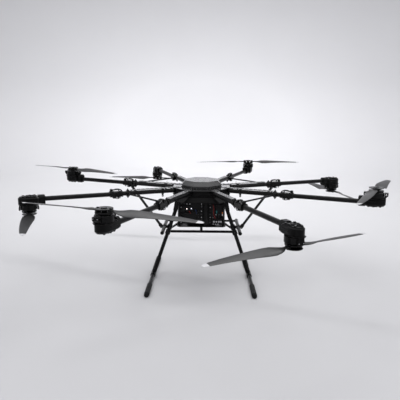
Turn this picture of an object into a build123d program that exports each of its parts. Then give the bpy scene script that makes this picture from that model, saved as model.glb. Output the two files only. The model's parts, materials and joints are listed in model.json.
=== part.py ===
from build123d import *
import math
import os

os.makedirs("parts", exist_ok=True)

# Heavy-lift octocopter with folding arms. Millimetres and degrees, +Z up, -Y is the front.
# The origin is the centre of the payload bolt pattern, on the underside of the payload tray.

# ---- driving dimensions -------------------------------------------------------------------
MOTOR_CIRCLE_R = 850.0      # hub axis to motor axis
ARM_Z = 183.5               # height of the arm tubes' axes
FLOOR_Z = -310.0            # what the skids rest on
FIRST_ARM_ANGLE = 247.5     # arm 1 is front left, then they run clockwise seen from above
ARM_STEP = -45.0
ARMS = range(1, 9)

TUBE_R = 11.0
TUBE_WALL = 1.5
SLIP = 0.05                 # radial clearance of a tube or bolt in its bore
RUN = 0.3                   # gap between pieces that move past each other

HINGE_R = 452.0             # hub axis to fold hinge
HINGE_DROP = 15.5           # hinge pin below the tube axis
HINGE_PIN_R = 2.5
KNUCKLE_R = 6.0
TONGUE_HALF = 4.8
JOINT_HALF_W = 16.5         # fold joint blocks, half width and half height
JOINT_HALF_H = 13.0
JOINT_LENGTH = 32.0

ROTOR_R = 368.0             # hub axis of a propeller to its blade tips (29 inch propeller)
ROTOR_LIFT = 61.0           # arm axis to the plane of the blades
BLADE_PIN_R = 26.0
BLADE_PITCH = 250.0         # advance per turn
BLADE_REST_ANGLE = {1: -21.5, 2: -71.5, 3: -31.5, 4: 170.0, 5: 3.3, 6: 101.0, 7: 58.5, 8: 30.3}

PLATE_T = 3.0
HUB_APOTHEM = 148.0         # octagonal hub plates
HUB_TOP_Z = ARM_Z + 12.0
HUB_MID_Z = ARM_Z - 18.0
LOWER_PLATE_Z = 136.0
LOWER_PLATE_HALF = (152.0, 160.0)
LOWER_PLATE_CORNER = 62.0

BOX_HALF = (120.0, 105.0)   # avionics box under the lower plate
TRAY_HALF = (126.0, 105.0)
PAYLOAD_SPACING = (120.0, 80.0)
PAYLOAD_HOLE_R = 2.75

LEG_SPLAY = 0.346           # sideways run of a leg per unit of height
LEG_R = 10.0
LEG_TOP_Z = 88.0
SKID_X = 264.0
SKID_R = 10.0
SLEEVE_R = 13.0
SKID_Z = FLOOR_Z + SLEEVE_R
SKID_ENDS = (-279.0, 261.0)
CROSS_Z = -53.0             # cross tube between the legs
RAIL_X = 199.0
RAIL_Z = -26.0
RAIL_R = 9.0
RAIL_ENDS = (-126.0, 142.0)

ROD_CLAMP_R = {1: 394.0, 2: 394.0, 3: 408.0, 4: 408.0, 5: 408.0, 6: 408.0, 7: 394.0, 8: 394.0}
STRUT_R = 427.0             # hub axis to the upper ends of the diagonal struts
COLLAR_R = 215.0


# ---- helpers --------------------------------------------------------------------------------
def arm_angle(number):
    return FIRST_ARM_ANGLE + ARM_STEP * (number - 1)


def is_inverted(number):
    """Even arms hang their motor below the arm."""
    return number % 2 == 0


def on_arm(number, shape):
    """Turn a shape drawn along +X, with Z counted from the tube axis, onto an arm."""
    return Rot(0, 0, arm_angle(number)) * Pos(0, 0, ARM_Z) * shape


def at_motor(number, shape):
    """Place a shape drawn about the motor axis, +X outward and +Z towards the propeller."""
    flip = Rot(180, 0, 0) if is_inverted(number) else Rot(0, 0, 0)
    return on_arm(number, Pos(MOTOR_CIRCLE_R, 0, 0) * flip * shape)


def arm_point(number, radius, sideways=0.0):
    """X and Y of a point beside an arm, at a distance from the hub axis along it."""
    angle = math.radians(arm_angle(number))
    x = radius * math.cos(angle) - sideways * math.sin(angle)
    y = radius * math.sin(angle) + sideways * math.cos(angle)
    return x, y


def at_rotor(number, shape):
    """Place a shape drawn about the motor axis, +X along the first blade."""
    flip = Rot(180, 0, 0) if is_inverted(number) else Rot(0, 0, 0)
    x, y = arm_point(number, MOTOR_CIRCLE_R)
    return Pos(x, y, ARM_Z) * Rot(0, 0, BLADE_REST_ANGLE[number]) * flip * shape


def block(x, y, z):
    """A box from its low and high value on each axis."""
    size = [high - low for low, high in (x, y, z)]
    centre = [(high + low) / 2 for low, high in (x, y, z)]
    return Pos(*centre) * Box(*size)


def rod(radius, start, end):
    """A round bar between two points."""
    start, end = Vector(*start), Vector(*end)
    line = end - start
    plane = Plane(origin=start, z_dir=line)
    return extrude(plane * Circle(radius), line.length)


def tube(radius, wall, start, end):
    """A hollow round tube between two points."""
    start, end = Vector(*start), Vector(*end)
    line = end - start
    plane = Plane(origin=start, z_dir=line)
    ring = Circle(radius) - Circle(radius - wall)
    return extrude(plane * ring, line.length)


def side_profile(points, half_width):
    """Extrude an outline in the XZ plane to both sides."""
    outline = make_face(Polyline(*points, close=True))
    return extrude(Plane.XZ * outline, half_width, both=True)


def plan_profile(points, low, high):
    """Extrude an outline in the XY plane from one height to another."""
    outline = make_face(Polyline(*points, close=True))
    return Pos(0, 0, low) * extrude(outline, high - low)


def mirrored_points(points):
    """Complete an outline from its +Y half."""
    return points + [(x, -y) for x, y in reversed(points)]


def octagon(apothem):
    """A regular octagon with a flat to the front."""
    return RegularPolygon(apothem, 8, major_radius=False, rotation=22.5)


def bolt(radius, head_r, low, high, head_h):
    """A vertical bolt with its head on top and a nut below."""
    shank = block_cylinder(radius, low - head_h - 3, high)
    head = block_cylinder(head_r, high, high + head_h) - Pos(0, 0, high + head_h) * Cylinder(head_r / 2, 2)
    nut = Pos(0, 0, low - head_h) * extrude(RegularPolygon(head_r, 6), head_h)
    return shank + head + nut


def block_cylinder(radius, low, high):
    """An upright cylinder between two heights."""
    return Pos(0, 0, (low + high) / 2) * Cylinder(radius, high - low)


def as_node(name, solids):
    """Write separate solids as one named sub-part."""
    if not isinstance(solids, list):
        solids = [solids]
    pieces = []
    for item in solids:
        pieces += list(item.solids())
    shape = pieces[0] if len(pieces) == 1 else Compound(children=pieces)
    shape.label = name
    export_step(shape, f"parts/{name}.step")


# ---- fold joint ---------------------------------------------------------------------------
JOINT_BOLT_Y = 13.2
JOINT_BOLT_R = 1.5
JOINT_BOLT_HEAD_R = 2.8
EAR_CLEAR = KNUCKLE_R + 0.4


def knuckle(radius, low_y, high_y):
    """A round boss about the hinge pin between two sideways places."""
    centre = (low_y + high_y) / 2
    return Pos(HINGE_R, centre, -HINGE_DROP) * Rot(90, 0, 0) * Cylinder(radius, high_y - low_y)


def joint_bolts(x):
    """The two clamp bolts of one joint half."""
    shape = bolt(JOINT_BOLT_R, JOINT_BOLT_HEAD_R, -JOINT_HALF_H, JOINT_HALF_H, 4.0)
    return [Pos(x, side * JOINT_BOLT_Y, 0) * shape for side in (-1, 1)]


def joint_block(low_x, high_x):
    """The plain clamp block of one joint half with its rounded top edges."""
    body = block((low_x, high_x), (-JOINT_HALF_W, JOINT_HALF_W), (-JOINT_HALF_H, JOINT_HALF_H))
    body = chamfer(body.edges().filter_by(Axis.X), 4.0)
    for side in (-1, 1):
        x = (low_x + high_x) / 2
        body -= Pos(x, side * JOINT_BOLT_Y, 0) * Cylinder(JOINT_BOLT_R + SLIP, 4 * JOINT_HALF_H)
    slot = block((low_x, high_x), (-1, 1), (0, JOINT_HALF_H + 1))
    return body - slot


def fold_socket():
    """The fixed half of a fold joint: clamp block, two ears and the catch of the lock."""
    low_x, high_x = HINGE_R - JOINT_LENGTH, HINGE_R - 0.25
    body = joint_block(low_x, high_x)
    ear_low, ear_high = TONGUE_HALF + RUN, JOINT_HALF_W
    for side in (-1, 1):
        y = sorted((side * ear_low, side * ear_high))
        body += block((HINGE_R - 12, HINGE_R), y, (-HINGE_DROP - KNUCKLE_R, -JOINT_HALF_H + 1))
        body += knuckle(KNUCKLE_R, *y)
    body -= knuckle(EAR_CLEAR, -ear_low, ear_low)
    body -= Pos(HINGE_R, 0, -HINGE_DROP) * Rot(90, 0, 0) * Cylinder(HINGE_PIN_R + SLIP, 60)
    body -= rod(TUBE_R + SLIP, (low_x - 1, 0, 0), (HINGE_R - 3, 0, 0))
    catch = block((low_x + 3, low_x + 9), (-5, 5), (JOINT_HALF_H - 1, JOINT_HALF_H + 4.8))
    return body + catch


def fold_head():
    """The moving half of a fold joint: clamp block and the tongue between the ears."""
    low_x, high_x = HINGE_R + 0.25, HINGE_R + JOINT_LENGTH
    body = joint_block(low_x, high_x)
    for side in (-1, 1):
        y = sorted((side * (TONGUE_HALF + 0.1), side * (JOINT_HALF_W + 1)))
        body -= knuckle(EAR_CLEAR, *y)
    heights = (-HINGE_DROP - KNUCKLE_R, -JOINT_HALF_H + 1)
    body += block((HINGE_R, HINGE_R + 12), (-TONGUE_HALF, TONGUE_HALF), heights)
    body += knuckle(KNUCKLE_R, -TONGUE_HALF, TONGUE_HALF)
    body -= Pos(HINGE_R, 0, -HINGE_DROP) * Rot(90, 0, 0) * Cylinder(HINGE_PIN_R + SLIP, 60)
    body -= rod(TUBE_R + SLIP, (HINGE_R + 3, 0, 0), (high_x + 1, 0, 0))
    return body


def lock_lever():
    """The over-centre lever that arches over the split and holds the joint straight."""
    outer = [(30, 13), (29, 24), (22, 26), (12, 23), (2, 26), (-12, 26), (-24, 22), (-28, 18.5)]
    inner = [(-24, 18.5), (-12, 20.5), (2, 20.5), (12, 19), (20, 20), (23, 13)]
    points = [(HINGE_R + x, z) for x, z in outer + inner]
    lever = side_profile(points, 7)
    window = block((HINGE_R - 9, HINGE_R + 8), (-3.5, 3.5), (15, 40))
    return lever - window


def hinge_pin():
    """The pin of a fold joint with its two heads."""
    reach = JOINT_HALF_W
    place = Pos(HINGE_R, 0, -HINGE_DROP) * Rot(90, 0, 0)
    shank = place * Cylinder(HINGE_PIN_R, 2 * reach + 1)
    heads = [Pos(0, side * (reach + 1.2), 0) * (place * Cylinder(4.2, 2)) for side in (-1, 1)]
    return shank + heads[0] + heads[1]


# ---- arms ---------------------------------------------------------------------------------
POD_TUBE_END = -22.0        # how far short of the motor axis the arm tube stops


def outer_arm(number):
    """The folding part of an arm: fold head, lock lever, clamp bolts and tube."""
    shaft = tube(TUBE_R, TUBE_WALL, (HINGE_R + 4, 0, 0), (MOTOR_CIRCLE_R + POD_TUBE_END, 0, 0))
    pieces = [fold_head(), lock_lever(), shaft] + joint_bolts(HINGE_R + JOINT_LENGTH / 2 + 0.125)
    return [on_arm(number, piece) for piece in pieces]


def ladder_strip():
    """The slotted cable cover along the top of an inner arm."""
    low_x, high_x, half_w, low_z = 116.0, 384.0, 12.0, HUB_TOP_Z + PLATE_T - ARM_Z
    strip = block((low_x, high_x), (-half_w, half_w), (low_z, low_z + 2))
    count, pitch, window = 11, 23.0, 17.0
    for index in range(count):
        x = low_x + 17 + pitch * index
        for side in (-1, 1):
            strip -= Pos(x, side * 5.2, low_z) * Box(window, 6.0, 10)
    for x in (HUB_APOTHEM + 22, high_x - 6):
        strip += block((x - 3, x + 3), (-6, 6), (TUBE_R - 1.2, low_z))
    cut = rod(TUBE_R + SLIP, (low_x, 0, 0), (high_x + 5, 0, 0))
    return strip - cut


def rod_clamp(radius, sides):
    """A split ring on an arm with a lug for each rod that it holds and a vertical bolt."""
    ring = rod(TUBE_R + 3.5, (-8, 0, 0), (8, 0, 0))
    for sign in (-1, 1):
        ring += block((-5, 5), (-5, 5), sorted((sign * (TUBE_R + 2), sign * (TUBE_R + 7))))
        ring += block_cylinder(2.6, *sorted((sign * (TUBE_R + 6), sign * (TUBE_R + 12))))
    for side in sides:
        ring += block((-6, 6), sorted((side * (TUBE_R + 2), side * (TUBE_R + 17))), (-6, 6))
    return Pos(radius, 0, 0) * (ring - rod(TUBE_R + SLIP, (-20, 0, 0), (20, 0, 0)))


def strut_lug():
    """The block under a fold socket that the diagonal strut bolts to."""
    lug = block((STRUT_R - 7, STRUT_R + 7), (-8, 8), (-JOINT_HALF_H - 12, -JOINT_HALF_H))
    return chamfer(lug.edges().filter_by(Axis.Y), 2)


def arm_collar():
    """A collar near the arm root with a hanging tab."""
    ring = rod(TUBE_R + 3.5, (COLLAR_R - 5, 0, 0), (COLLAR_R + 5, 0, 0))
    ring += block((COLLAR_R - 4, COLLAR_R + 4), (-3, 3), (-TUBE_R - 17, -TUBE_R - 2))
    ring -= Pos(COLLAR_R, 0, -TUBE_R - 12) * Rot(90, 0, 0) * Cylinder(2.2, 20)
    return ring - rod(TUBE_R + SLIP, (COLLAR_R - 20, 0, 0), (COLLAR_R + 20, 0, 0))


# ---- motor pods -----------------------------------------------------------------------------
POD_HALF_W = 29.0
POD_NOSE = 44.0             # reach of the pod beyond the motor axis
POD_BACK = -46.0
POD_TOP = 18.0              # face towards the motor
POD_BOTTOM = -12.5
LID_LOW = POD_BOTTOM - 2.5
MOUNT_HIGH = POD_TOP + 3
BELL_R = 35.0
BELL_WALL = 3.5
BELL_LOW, BELL_TOP = 22.5, 46.0
EAR_HOLE_R = 4.0
EAR_REACH = {False: 51.0, True: 43.0}   # upright and inverted motors
HUB_DISC_R = 32.0
HUB_DISCS = ((50.0, 56.7), (65.3, 68.3))    # heights of the two clamp discs about the blades


def pod_outline(back, nose, half_w):
    """Plan of a pod: straight sides, cut inboard corners and an elliptical nose."""
    straight = mirrored_points([(back, half_w - 6), (back + 8, half_w), (0, half_w)])
    return make_face(Polyline(*straight, close=True)) + Ellipse(nose, half_w)


def pod_housing():
    """The speed controller housing that clamps the end of the arm tube."""
    outline = pod_outline(POD_BACK, POD_NOSE, POD_HALF_W)
    body = Pos(0, 0, POD_BOTTOM) * extrude(outline, POD_TOP - POD_BOTTOM)
    body = chamfer(body.faces().sort_by(Axis.Z)[0].edges(), 4.5)
    collar = block((-72, -40), (-19, 19), (-19, 27))
    collar = chamfer(collar.edges().filter_by(Axis.X), 8.0)
    collar = chamfer(collar.faces().sort_by(Axis.X)[0].edges(), 4.0)
    body += collar
    for sign in (-1, 1):
        y = sorted((sign * (POD_HALF_W - 1), sign * (POD_HALF_W + 1.5)))
        body += block((-36, 4), y, (2, 7))
    body -= block((-EAR_REACH[False] - RUN, 60), (-40, 40), (POD_TOP, 60))
    body -= rod(TUBE_R + SLIP, (-80, 0, 0), (POD_TUBE_END + 1, 0, 0))
    return body


def pod_lid():
    """The ribbed cooling lid on the face of the pod away from the motor."""
    outline = pod_outline(-38, POD_NOSE - 6, POD_HALF_W - 5)
    lid = Pos(0, 0, LID_LOW) * extrude(outline, POD_BOTTOM - LID_LOW)
    for sign in (-1, 1):
        y = sorted((sign * 16.5, sign * 21.0))
        lid += block((-32, 10), y, (LID_LOW - 2.5, LID_LOW))
        lid += Pos(8, 0, LID_LOW - 1.5) * Rot(0, 0, sign * 35) * Box(40, 4, 3)
        for x, y in ((-27, 18), (-6, 18.5), (22, 12.5)):
            lid += Pos(x, sign * y, LID_LOW - 2) * Cylinder(4.5, 4)
            lid -= Pos(x, sign * y, LID_LOW - 4) * Cylinder(2.4, 3)
    return lid


def motor_mount(number):
    """The plate under the motor with a pierced ear at each end."""
    outline = mirrored_points([(-47, 14), (-38, 26), (32, 26), (43, 14)])
    plate = plan_profile(outline, POD_TOP, MOUNT_HIGH)
    reach, inner = EAR_REACH[is_inverted(number)], BELL_R + 0.6
    hole_r = min(EAR_HOLE_R, (reach - inner) / 2 - 1.5)
    ear = [(inner, MOUNT_HIGH), (inner + 3, MOUNT_HIGH), (reach, MOUNT_HIGH + 13)]
    ear += [(reach, BELL_TOP), (inner, BELL_TOP)]
    for sign in (-1, 1):
        plate += side_profile([(sign * x, z) for x, z in ear], 13)
        plate -= Pos(sign * (inner + reach) / 2, 0, 38) * Rot(90, 0, 0) * Cylinder(hole_r, 60)
    return plate


def stator():
    """The wound core of the motor with its bearing bore."""
    core_r, core_high = BELL_R - BELL_WALL - 1.5, 40
    core = block_cylinder(core_r, MOUNT_HIGH, core_high)
    teeth = 12
    for index in range(teeth):
        core -= Rot(0, 0, index * 360 / teeth) * Pos(core_r - 1, 0, core_high - 6) * Box(10, 5, 13)
    return core - block_cylinder(4 + SLIP, POD_TOP, 50)


def motor_bell():
    """The turning can of the motor with its shaft and cooling windows."""
    can = block_cylinder(BELL_R, BELL_LOW, BELL_TOP)
    can -= block_cylinder(BELL_R - BELL_WALL, BELL_LOW - 1, BELL_TOP - 3)
    can = chamfer(can.faces().sort_by(Axis.Z)[-1].edges(), 1.5)
    spokes = 8
    for index in range(spokes):
        can -= Rot(0, 0, (index + 0.5) * 360 / spokes) * Pos(22, 0, BELL_TOP) * Box(14, 9, 12)
    can += block_cylinder(13, BELL_TOP - 3, HUB_DISCS[0][0])
    can += block_cylinder(4, 27, BELL_TOP)
    return can


def prop_hub():
    """The two clamp discs that hold the folding blades, with the pivot bolts and centre cap."""
    (low, low_top), (high, high_top) = HUB_DISCS
    lower = chamfer(block_cylinder(HUB_DISC_R, low, low_top).edges(), 1.0)
    upper = chamfer(block_cylinder(HUB_DISC_R, high, high_top).edges(), 1.0)
    hub = lower + upper + block_cylinder(9, low, high_top)
    hub += block_cylinder(10, high_top, high_top + 2.5)
    for sign in (-1, 1):
        hub += Pos(sign * BLADE_PIN_R, 0, 0) * block_cylinder(3, low, high_top)
        hub += Pos(sign * BLADE_PIN_R, 0, high_top) * extrude(RegularPolygon(4.2, 6), 2.0)
    return hub


# ---- blades ---------------------------------------------------------------------------------
# radius, leading edge ahead of the pin line, trailing edge behind it, thickness
BLADE_STATIONS = [
    (42, 9.0, 9.0, 7.2),
    (54, 14.5, 22.0, 6.8),
    (66, 18.5, 29.5, 6.2),
    (90, 20.5, 30.5, 5.4),
    (125, 22.0, 28.5, 4.8),
    (170, 22.0, 25.0, 4.1),
    (230, 20.0, 20.5, 3.4),
    (290, 16.0, 17.0, 2.8),
    (335, 11.0, 15.0, 2.3),
    (356, 6.5, 12.5, 2.0),
    (368, 1.0, 9.0, 1.4),
]
BLADE_DROOP = 5.0


def blade_pitch_angle(radius):
    """Blade angle from the pitch, eased in from the flat root."""
    ease = min(1.0, max(0.0, (radius - 56) / 45))
    return ease * min(20.0, math.degrees(math.atan(BLADE_PITCH / (2 * math.pi * radius))))


def blade(number):
    """One folding blade drawn along +X, with its root tab on the pivot bolt."""
    sections = []
    for radius, lead, trail, thickness in BLADE_STATIONS:
        chord, middle = lead + trail, (lead - trail) / 2
        lift = -BLADE_DROOP * (radius / ROTOR_R) ** 2
        plane = Plane(origin=(radius, 0, lift), x_dir=(0, 1, 0), z_dir=(1, 0, 0))
        turned = plane * Rot(0, 0, blade_pitch_angle(radius)) * Pos(middle, 0, 0)
        sections.append(turned * Ellipse(chord / 2, thickness / 2))
    shape = loft(sections)
    tab = block_cylinder(11, -3.7, 3.7)
    shape += Pos(BLADE_PIN_R, 0, 0) * tab
    shape += block((BLADE_PIN_R, 47), (-9, 9), (-3.6, 3.6))
    shape -= Pos(BLADE_PIN_R, 0, 0) * Cylinder(3 + SLIP, 20)
    if is_inverted(number):
        shape = mirror(shape, about=Plane.XZ)
    return shape


def placed_blade(number, turn):
    """A blade on its rotor, the first one at turn 0 and the second at turn 180."""
    x, y = arm_point(number, MOTOR_CIRCLE_R)
    height = ARM_Z + (-ROTOR_LIFT if is_inverted(number) else ROTOR_LIFT)
    return Pos(x, y, height) * Rot(0, 0, BLADE_REST_ANGLE[number] + turn) * blade(number)


# ---- hub ------------------------------------------------------------------------------------
SOCKET_X = (98.0, 146.0)
SOCKET_HALF_W = 19.0
DOME_BASE = 102.0
DOME_TOP = 84.0


def top_plate():
    """The octagonal carbon plate over the arm roots."""
    plate = Pos(0, 0, HUB_TOP_Z) * extrude(octagon(HUB_APOTHEM), PLATE_T)
    plate -= Pos(0, 0, HUB_TOP_Z) * Cylinder(60, 20)
    for number in ARMS:
        for x in (108, 136):
            for y in (-14.5, 14.5):
                plate -= on_arm(number, Pos(x, y, 14) * Cylinder(1.6, 12))
    return plate


def dome_cover():
    """The low octagonal cover in the middle of the top plate, a thin shell."""
    base_z = HUB_TOP_Z + PLATE_T
    low, edge, top = base_z, base_z + 12, ARM_Z + 49
    outer = Pos(0, 0, low) * extrude(octagon(DOME_BASE), edge - low)
    outer += loft([Pos(0, 0, edge) * octagon(DOME_BASE), Pos(0, 0, top) * octagon(DOME_TOP)])
    inner = Pos(0, 0, low - 1) * extrude(octagon(DOME_BASE - 2.5), edge - low)
    hollow_low, hollow_high = octagon(DOME_BASE - 2.5), octagon(DOME_TOP - 2.5)
    inner += loft([Pos(0, 0, edge - 1) * hollow_low, Pos(0, 0, top - 2.5) * hollow_high])
    return outer - inner


def arm_socket():
    """The block that clamps an arm root between the hub plates."""
    low, high = HUB_MID_Z + PLATE_T - ARM_Z, HUB_TOP_Z - ARM_Z
    body = block(SOCKET_X, (-SOCKET_HALF_W, SOCKET_HALF_W), (low, high))
    return body - rod(TUBE_R + SLIP, (SOCKET_X[0] - 1, 0, 0), (SOCKET_X[1] + 1, 0, 0))


def lower_outline():
    """The lower plate's outline, a rectangle with cut corners."""
    half_x, half_y = LOWER_PLATE_HALF
    cut = LOWER_PLATE_CORNER
    quarter = [(half_x, half_y - cut), (half_x - cut, half_y)]
    points = quarter + [(-x, y) for x, y in reversed(quarter)]
    points += [(-x, -y) for x, y in quarter] + [(x, -y) for x, y in reversed(quarter)]
    return make_face(Polyline(*points, close=True))


def frame_plates():
    """The octagonal plate under the arm roots and the wide plate over the avionics box."""
    middle = Pos(0, 0, HUB_MID_Z) * extrude(octagon(HUB_APOTHEM), PLATE_T)
    lower = Pos(0, 0, LOWER_PLATE_Z) * extrude(lower_outline(), PLATE_T)
    return [middle - Pos(0, 0, HUB_MID_Z) * Cylinder(45, 20), lower]


def skirt():
    """The sloping cowl between the two frame plates, a thin shell."""
    low, high = LOWER_PLATE_Z + PLATE_T, HUB_MID_Z
    outer = loft([Pos(0, 0, low) * lower_outline(), Pos(0, 0, high) * octagon(HUB_APOTHEM - 4)], ruled=True)
    inner_low = offset(lower_outline(), -3)
    inner = loft([Pos(0, 0, low) * inner_low, Pos(0, 0, high) * octagon(HUB_APOTHEM - 7)], ruled=True)
    return outer - inner


def hub_wall():
    """The eight panels that close the hub between the arm sockets."""
    low = HUB_MID_Z + PLATE_T
    ring = extrude(octagon(HUB_APOTHEM - 4), HUB_TOP_Z - low)
    ring -= extrude(octagon(HUB_APOTHEM - 6.5), HUB_TOP_Z - low)
    wall = Pos(0, 0, low) * ring
    for number in ARMS:
        gap = SOCKET_HALF_W + RUN
        wall -= on_arm(number, block((90, 200), (-gap, gap), (-40, 40)))
    return wall


# ---- avionics box -----------------------------------------------------------------------------
BOX_LOW, BOX_HIGH = PLATE_T, LOWER_PLATE_Z
BATTERY_X = (-78.0, 78.0)
BATTERY_Y = (-20.0, 112.0)
BATTERY_Z = (PLATE_T + 6 + RUN, 86.0)
BUTTON_R = 6.0
BUTTON_PLACE = (70.0, 108.0)        # Y and Z on the left side plate


def box_frame():
    """The two pierced side plates, the battery runners, the shelf over them and the corner posts."""
    half_x, half_y = BOX_HALF
    pieces = []
    for side in (-1, 1):
        x = sorted((side * (half_x - 3), side * half_x))
        plate = block(x, (-half_y, half_y), (BOX_LOW, BOX_HIGH))
        for y in (-62, -4, 54):
            window = block((-200, 200), (y - 20, y + 20), (20, 88))
            plate -= window
        if side == -1:
            y, z = BUTTON_PLACE
            plate -= Pos(-half_x, y, z) * Rot(0, 90, 0) * Cylinder(BUTTON_R + RUN, 20)
        pieces.append(plate)
        runner = block(sorted((side * 60, side * 76)), (-18, half_y), (BOX_LOW, BOX_LOW + 6))
        pieces.append(runner)
        for y in (-half_y + 5, half_y - 5):
            pieces.append(Pos(side * (half_x - 9), y, 0) * block_cylinder(5, BOX_LOW, BOX_HIGH))
    pieces.append(block((-half_x + 3, half_x - 3), (-18, half_y - 12), (89, 91)))
    return pieces


def battery():
    """The flight battery with its pull handle and contact block."""
    pack = block(BATTERY_X, BATTERY_Y, BATTERY_Z)
    pack = fillet(pack.edges().filter_by(Axis.Y), 5)
    grip = block((-32, 32), (BATTERY_Y[1] - 1, BATTERY_Y[1] + 14), (40, 52))
    grip -= block((-25, 25), (BATTERY_Y[1], BATTERY_Y[1] + 9), (30, 60))
    return pack + grip


def power_button():
    """The push button on the left side plate."""
    y, z = BUTTON_PLACE
    centre = Pos(-BOX_HALF[0] + 1, y, z) * Rot(0, 90, 0)
    stem = centre * Cylinder(BUTTON_R, 9)
    flange = Pos(-BOX_HALF[0] + 6.5, y, z) * Rot(0, 90, 0) * Cylinder(BUTTON_R + 2, 2)
    return stem + flange


def electronics():
    """Boards and modules in the front of the box, on the shelf, in the hub and under the dome."""
    front = -BOX_HALF[1]
    pieces = [
        block((-112, 112), (front + 22, front + 24), (12, 128)),
        block((-100, -58), (front + 6, front + 22), (84, 112)),
        block((-52, -8), (front + 8, front + 22), (92, 122)),
        block((-92, -20), (front + 4, front + 22), (18, 76)),
        block((50, 70), (front + 4, front + 22), (52, 118)),
        block((76, 104), (front + 6, front + 22), (70, 116)),
        block((58, 106), (front + 2, front + 22), (14, 44)),
        block((-70, -10), (10, 80), (91, 112)),
        block((10, 80), (10, 84), (91, 104)),
    ]
    pieces.append(Pos(24, front + 10, 0) * block_cylinder(12, 10, 126))
    pieces.append(block((-40, 40), (-30, 30), (HUB_MID_Z + PLATE_T, HUB_MID_Z + PLATE_T + 20)))
    pieces.append(block_cylinder(36, HUB_MID_Z + PLATE_T + 20, HUB_TOP_Z + PLATE_T + 12))
    return pieces


def payload_tray():
    """The tray under the box that carries the payload bolt pattern."""
    half_x, half_y = TRAY_HALF
    plate = block((-half_x, half_x), (-half_y, half_y), (0, PLATE_T))
    plate = chamfer(plate.edges().filter_by(Axis.Z), 14)
    for x in (-1, 1):
        for y in (-1, 1):
            place = Pos(x * PAYLOAD_SPACING[0] / 2, y * PAYLOAD_SPACING[1] / 2, 0)
            plate -= place * Cylinder(PAYLOAD_HOLE_R, 20)
    return plate


# ---- landing gear ---------------------------------------------------------------------------
def leg_x(z):
    """Sideways place of a leg's axis at a height."""
    return SKID_X + LEG_SPLAY * (SKID_Z - z)


def landing_legs():
    """The two splayed legs with the sockets on the lower plate and the tees on the skids."""
    pieces = []
    for side in (-1, 1):
        top = (side * leg_x(LEG_TOP_Z), 0, LEG_TOP_Z)
        foot = (side * leg_x(SKID_Z + 10.2), 0, SKID_Z + 10.2)
        pieces.append(tube(LEG_R, TUBE_WALL, top, foot))
        outline = [(121, LOWER_PLATE_Z), (138, LOWER_PLATE_Z), (151, 66), (131, 66), (124, 88), (121, 88)]
        cap = side_profile([(side * x, z) for x, z in outline], 12)
        lean = rod(LEG_R + SLIP, (side * leg_x(40), 0, 40), top)
        pieces.append(cap - lean)
        tee = rod(LEG_R + 3, (side * leg_x(-201), 0, -201), (side * leg_x(-284), 0, -284))
        tee += rod(SKID_R + 4, (side * SKID_X, -26, SKID_Z), (side * SKID_X, 26, SKID_Z))
        floor_cut = block((-400, 400), (-60, 60), (FLOOR_Z - 40, FLOOR_Z + 0.5))
        tee -= floor_cut
        tee -= rod(SKID_R + SLIP, (side * SKID_X, -60, SKID_Z), (side * SKID_X, 60, SKID_Z))
        tee -= rod(LEG_R + SLIP, (side * leg_x(-190), 0, -190), (side * leg_x(SKID_Z + 10), 0, SKID_Z + 10))
        pieces.append(tee)
    return pieces


def skid_bars():
    """The two bars that the aircraft stands on."""
    ends = SKID_ENDS
    return [tube(SKID_R, TUBE_WALL, (side * SKID_X, ends[0], SKID_Z), (side * SKID_X, ends[1], SKID_Z))
            for side in (-1, 1)]


def skid_sleeves():
    """Rubber sleeves and end caps on the skid bars."""
    pieces = []
    sleeve_length = 118
    for side in (-1, 1):
        for end, inward in ((SKID_ENDS[0], 1), (SKID_ENDS[1], -1)):
            start = (side * SKID_X, end + inward * 6, SKID_Z)
            stop = (side * SKID_X, end + inward * (6 + sleeve_length), SKID_Z)
            sleeve = rod(SLEEVE_R, start, stop)
            sleeve = chamfer(sleeve.edges().filter_by(GeomType.CIRCLE), 1.5)
            bore = rod(SKID_R + SLIP, (side * SKID_X, -300, SKID_Z), (side * SKID_X, 300, SKID_Z))
            pieces.append(sleeve - bore)
            cap = rod(SLEEVE_R - 1, (side * SKID_X, end - inward * 5, SKID_Z), (side * SKID_X, end, SKID_Z))
            cap = fillet(cap.edges().filter_by(GeomType.CIRCLE), 2)
            pieces.append(cap)
    return pieces


STRUT_TUBE_R = 7.0
STRUT_FOOT = (217.0, 8.0, -27.0)


def strut_ends(number, side):
    """Lower and upper end of a diagonal strut's axis."""
    foot = (side * STRUT_FOOT[0], STRUT_FOOT[1], STRUT_FOOT[2])
    top = (*arm_point(number, STRUT_R), ARM_Z - JOINT_HALF_H - 12 - 0.1)
    return foot, top


def clamp_x(z):
    """Sideways place of the inner face of a leg's upper clamp at a height."""
    return leg_x(z) - (LEG_R + 3.5) * math.hypot(1, LEG_SPLAY) - RUN


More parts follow.
